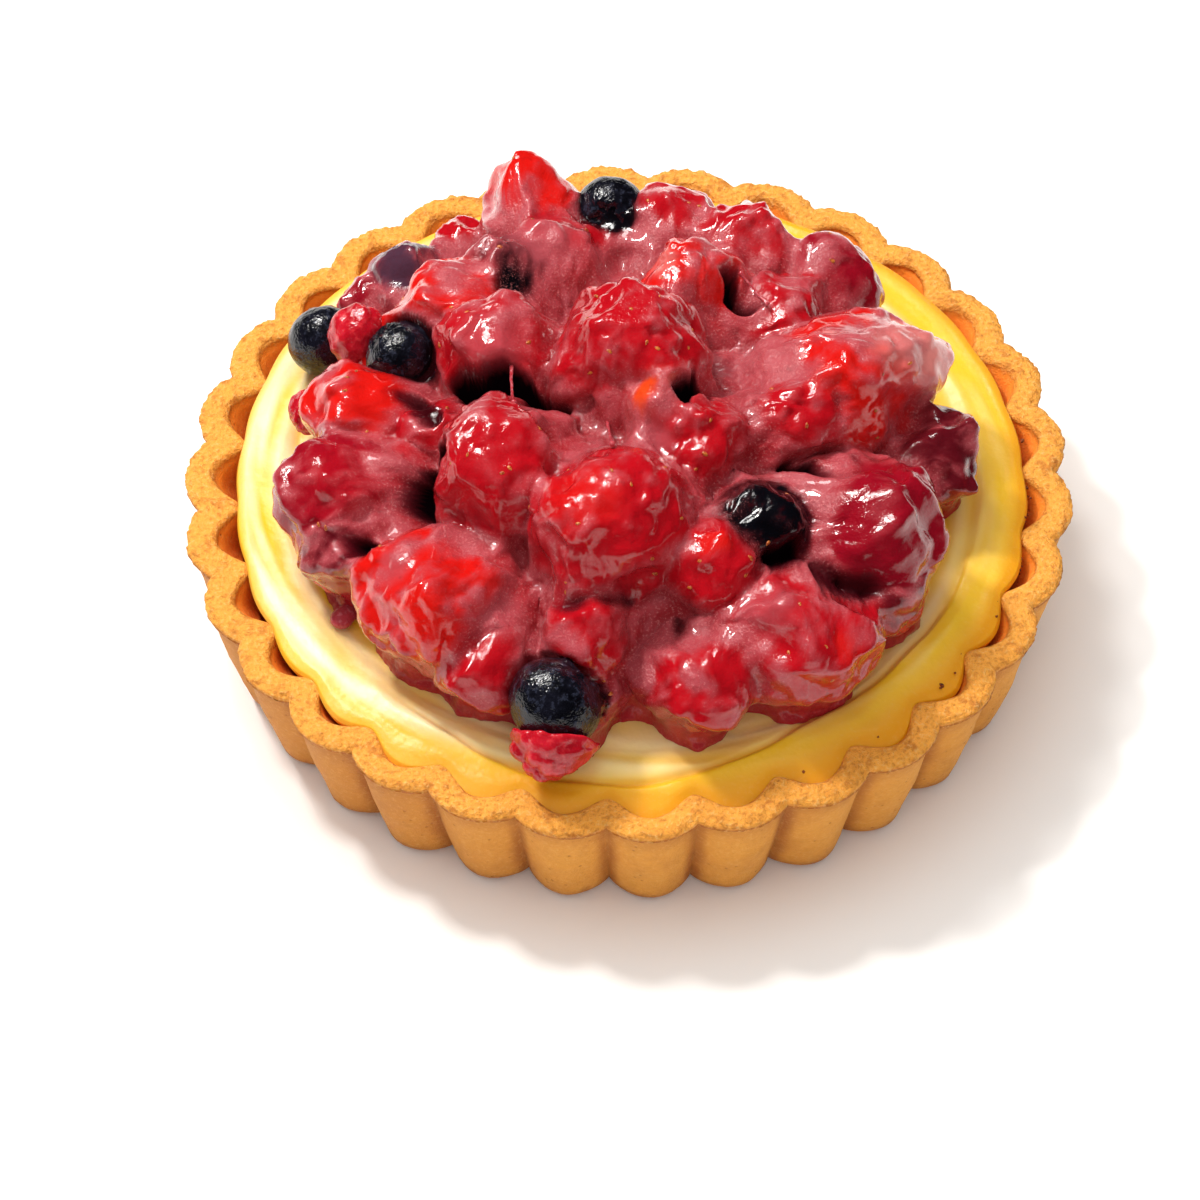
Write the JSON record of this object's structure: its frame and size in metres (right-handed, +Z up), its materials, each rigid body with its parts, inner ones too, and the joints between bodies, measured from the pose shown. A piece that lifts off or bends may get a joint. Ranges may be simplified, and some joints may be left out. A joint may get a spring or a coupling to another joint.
{
  "type": "berry tart",
  "caption": "Round fluted shortcrust tart filled with custard and heaped with blueberries, raspberries and strawberry pieces in a thick compote.",
  "frame": {"origin": "centre of the flat base, on the surface that the tart stands on", "axes": "+Z up; -Y is the front, where one blueberry and one raspberry lie out on the custard; +X is to the right, seen from the front"},
  "size_m": [0.1178, 0.1178, 0.0499],
  "materials": {
    "crust": "baked shortcrust, matt and finely pored, browner and coarser along the rim",
    "custard": "smooth custard with a soft sheen",
    "compote": "thick, glossy, cloudy red sauce",
    "blueberry": "glossy blue-black skin",
    "raspberry": "wet deep red",
    "strawberry": "wet bright red, with paler cut faces"
  },
  "bodies": {
    "root": {"shell": "crust", "custard": "custard", "compote": "compote", "blueberry_front": "blueberry", "blueberry_right": "blueberry", "blueberry_left": "blueberry", "blueberry_far_left": "blueberry", "blueberry_back_left": "blueberry", "blueberry_upper": "blueberry", "blueberry_back": "blueberry", "raspberry_front": "raspberry", "raspberry_far_left": "raspberry", "raspberry_left_edge": "raspberry", "raspberry_left_inner": "raspberry", "raspberry_left": "raspberry", "raspberry_left_front": "raspberry", "raspberry_back_edge": "raspberry", "raspberry_back_left": "raspberry", "raspberry_centre": "raspberry", "raspberry_back": "raspberry", "raspberry_back_right": "raspberry", "raspberry_right_edge": "raspberry", "raspberry_right": "raspberry", "raspberry_right_under": "raspberry", "strawberry_tip_back": "strawberry", "strawberry_centre": "strawberry", "strawberry_centre_left": "strawberry", "strawberry_piece_upper_left": "strawberry", "strawberry_piece_left": "strawberry", "strawberry_piece_slip": "strawberry", "strawberry_piece_back": "strawberry", "strawberry_piece_ridge": "strawberry", "strawberry_piece_right": "strawberry", "strawberry_piece_right_cut": "strawberry", "strawberry_piece_right_bit": "strawberry", "strawberry_piece_back_right": "strawberry", "strawberry_piece_front_right": "strawberry", "strawberry_piece_front_bit": "strawberry", "strawberry_piece_chip": "strawberry", "strawberry_piece_centre_right": "strawberry", "strawberry_piece_front_left": "strawberry", "strawberry_piece_front_middle": "strawberry", "strawberry_piece_left_front": "strawberry", "strawberry_piece_upper": "strawberry", "strawberry_piece_middle_left": "strawberry"}
  },
  "joints": []
}
